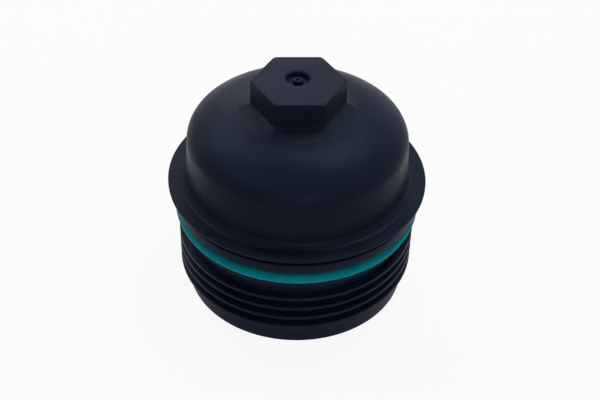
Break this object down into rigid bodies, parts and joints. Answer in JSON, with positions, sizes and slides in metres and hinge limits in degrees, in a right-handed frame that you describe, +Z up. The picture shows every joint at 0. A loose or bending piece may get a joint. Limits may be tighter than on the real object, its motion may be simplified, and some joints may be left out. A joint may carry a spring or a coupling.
{
  "type": "oil filter housing",
  "caption": "Screw-in cap of an oil filter housing: hexagon on a domed top, flange, green sealing ring, coarse thread, and a spring bypass valve inside.",
  "frame": {"origin": "middle of the skirt's rim, on the plane that the cap stands on", "axes": "+Z up the screw axis towards the hexagon, -Y out of one flat of the hexagon, +X out of one of its corners"},
  "size_m": [0.0772, 0.0772, 0.071],
  "materials": {
    "black_nylon": "satin moulded glass-filled nylon",
    "green_rubber": "smooth",
    "dark_nylon": "satin",
    "dark_rubber": "smooth",
    "amber_resin": "satin",
    "spring_steel": "drawn wire",
    "pale_nylon": "satin"
  },
  "bodies": {
    "cap_assembly": {"cap": "black_nylon", "sealing_ring": "green_rubber", "valve_body": "dark_nylon", "spigot_seal": "dark_rubber", "valve_spring": "spring_steel", "spring_retainer": "pale_nylon"},
    "plate": {"valve_plate": "amber_resin"}
  },
  "joints": [
    {"name": "bypass_slide", "type": "slide", "parent": "cap_assembly", "child": "plate", "axis": [0, 0, -1], "range_m": [0, 0.0035], "stiffness_N_per_m": 60, "springref_m": -0.001, "deforming": ["valve_spring"]}
  ]
}
